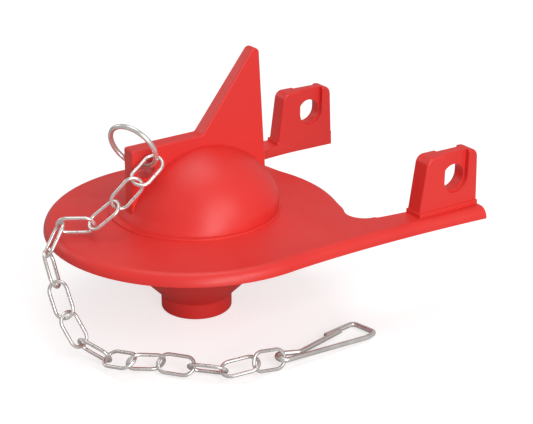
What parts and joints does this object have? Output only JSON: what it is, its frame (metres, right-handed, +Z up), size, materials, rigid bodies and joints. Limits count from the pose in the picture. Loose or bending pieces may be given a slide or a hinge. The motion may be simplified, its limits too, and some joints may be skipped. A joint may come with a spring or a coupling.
{
  "type": "toilet flapper",
  "caption": "Round rubber toilet flapper with a hollow bulb, lift fin and two hinge ears, and a pull ring, chain and wire hook.",
  "frame": {"origin": "on the hinge axis, midway between the two ears", "axes": "+X from the sealing disc's centre towards the ears, +Y along the hinge axis, +Z up from the disc's flat underside"},
  "size_m": [0.1049, 0.0791, 0.0655],
  "materials": {
    "red_rubber": "satin",
    "zinc_wire": "bright"
  },
  "bodies": {
    "flapper": {"flapper_body": "red_rubber"},
    "ring": {"pull_ring": "zinc_wire"},
    "link_01": {"chain_link_01": "zinc_wire"},
    "link_02": {"chain_link_02": "zinc_wire"},
    "link_03": {"chain_link_03": "zinc_wire"},
    "link_04": {"chain_link_04": "zinc_wire"},
    "link_05": {"chain_link_05": "zinc_wire"},
    "link_06": {"chain_link_06": "zinc_wire"},
    "link_07": {"chain_link_07": "zinc_wire"},
    "link_08": {"chain_link_08": "zinc_wire"},
    "link_09": {"chain_link_09": "zinc_wire"},
    "link_10": {"chain_link_10": "zinc_wire"},
    "link_11": {"chain_link_11": "zinc_wire"},
    "link_12": {"chain_link_12": "zinc_wire"},
    "link_13": {"chain_link_13": "zinc_wire"},
    "link_14": {"chain_link_14": "zinc_wire"},
    "link_15": {"chain_link_15": "zinc_wire"},
    "hook": {"snap_hook": "zinc_wire"}
  },
  "joints": [
    {"name": "ring_swing", "type": "hinge", "parent": "flapper", "child": "ring", "pos_m": [-0.06968, -0.00026, 0.00662], "axis": [0.3933, -0.9137, 0.1024], "range_deg": [-10, 0]},
    {"name": "link_01_pivot", "type": "hinge", "parent": "ring", "child": "link_01", "pos_m": [-0.06757, -0.00443, 0.00974], "axis": [-0.4443, 0.8114, 0.3796], "range_deg": [0, 45]},
    {"name": "link_02_pivot", "type": "hinge", "parent": "link_01", "child": "link_02", "pos_m": [-0.07402, -0.00644, 0.00613], "axis": [-0.7367, 0.1519, 0.659], "range_deg": [-5, 35]},
    {"name": "link_03_pivot", "type": "hinge", "parent": "link_02", "child": "link_03", "pos_m": [-0.07936, -0.00395, -0.00041], "axis": [-0.7367, 0.1519, 0.659], "range_deg": [-5, 40]},
    {"name": "link_04_pivot", "type": "hinge", "parent": "link_03", "child": "link_04", "pos_m": [-0.08477, -0.00143, -0.00513], "axis": [0.1902, 0.9414, 0.2785], "range_deg": [0, 45]},
    {"name": "link_05_pivot", "type": "hinge", "parent": "link_04", "child": "link_05", "pos_m": [-0.09116, 0.00281, -0.00487], "axis": [-0.2088, -0.2917, 0.9334], "range_deg": [-35, 10]},
    {"name": "link_06_pivot", "type": "hinge", "parent": "link_05", "child": "link_06", "pos_m": [-0.09569, -0.00009, -0.01057], "axis": [0.0054, 0.914, -0.4056], "range_deg": [-15, 30]},
    {"name": "link_07_pivot", "type": "hinge", "parent": "link_06", "child": "link_07", "pos_m": [-0.09564, -0.00433, -0.01547], "axis": [-0.685, 0.6088, -0.4003], "range_deg": [-35, 45]},
    {"name": "link_08_pivot", "type": "hinge", "parent": "link_07", "child": "link_08", "pos_m": [-0.09525, -0.00884, -0.02302], "axis": [-0.685, 0.6088, -0.4003], "range_deg": [-35, 45]},
    {"name": "link_09_pivot", "type": "hinge", "parent": "link_08", "child": "link_09", "pos_m": [-0.0928, -0.01148, -0.02973], "axis": [-0.9269, -0.3274, -0.1834], "range_deg": [-45, 25]},
    {"name": "link_10_pivot", "type": "hinge", "parent": "link_09", "child": "link_10", "pos_m": [-0.08959, -0.01694, -0.03136], "axis": [0.8295, 0.3919, 0.3978], "range_deg": [-45, 45]},
    {"name": "link_11_pivot", "type": "hinge", "parent": "link_10", "child": "link_11", "pos_m": [-0.08665, -0.02502, -0.02953], "axis": [-0.8295, -0.3919, -0.3978], "range_deg": [-45, 45]},
    {"name": "link_12_pivot", "type": "hinge", "parent": "link_11", "child": "link_12", "pos_m": [-0.08019, -0.02486, -0.03161], "axis": [0.597, 0.4976, 0.6292], "range_deg": [-45, 45]},
    {"name": "link_13_pivot", "type": "hinge", "parent": "link_12", "child": "link_13", "pos_m": [-0.07465, -0.03169, -0.03146], "axis": [0.597, 0.4976, 0.6292], "range_deg": [-45, 45]},
    {"name": "link_14_pivot", "type": "hinge", "parent": "link_13", "child": "link_14", "pos_m": [-0.06904, -0.03682, -0.03161], "axis": [0.4646, 0.5166, -0.7192], "range_deg": [-45, 45]},
    {"name": "link_15_pivot", "type": "hinge", "parent": "link_14", "child": "link_15", "pos_m": [-0.06201, -0.03942, -0.03018], "axis": [-0.3112, -0.9057, -0.2879], "range_deg": [-45, 45]},
    {"name": "hook_pivot", "type": "hinge", "parent": "link_15", "child": "hook", "pos_m": [-0.05453, -0.03891, -0.03171], "axis": [0.1511, 0.3475, 0.9254], "range_deg": [-45, 45]}
  ]
}
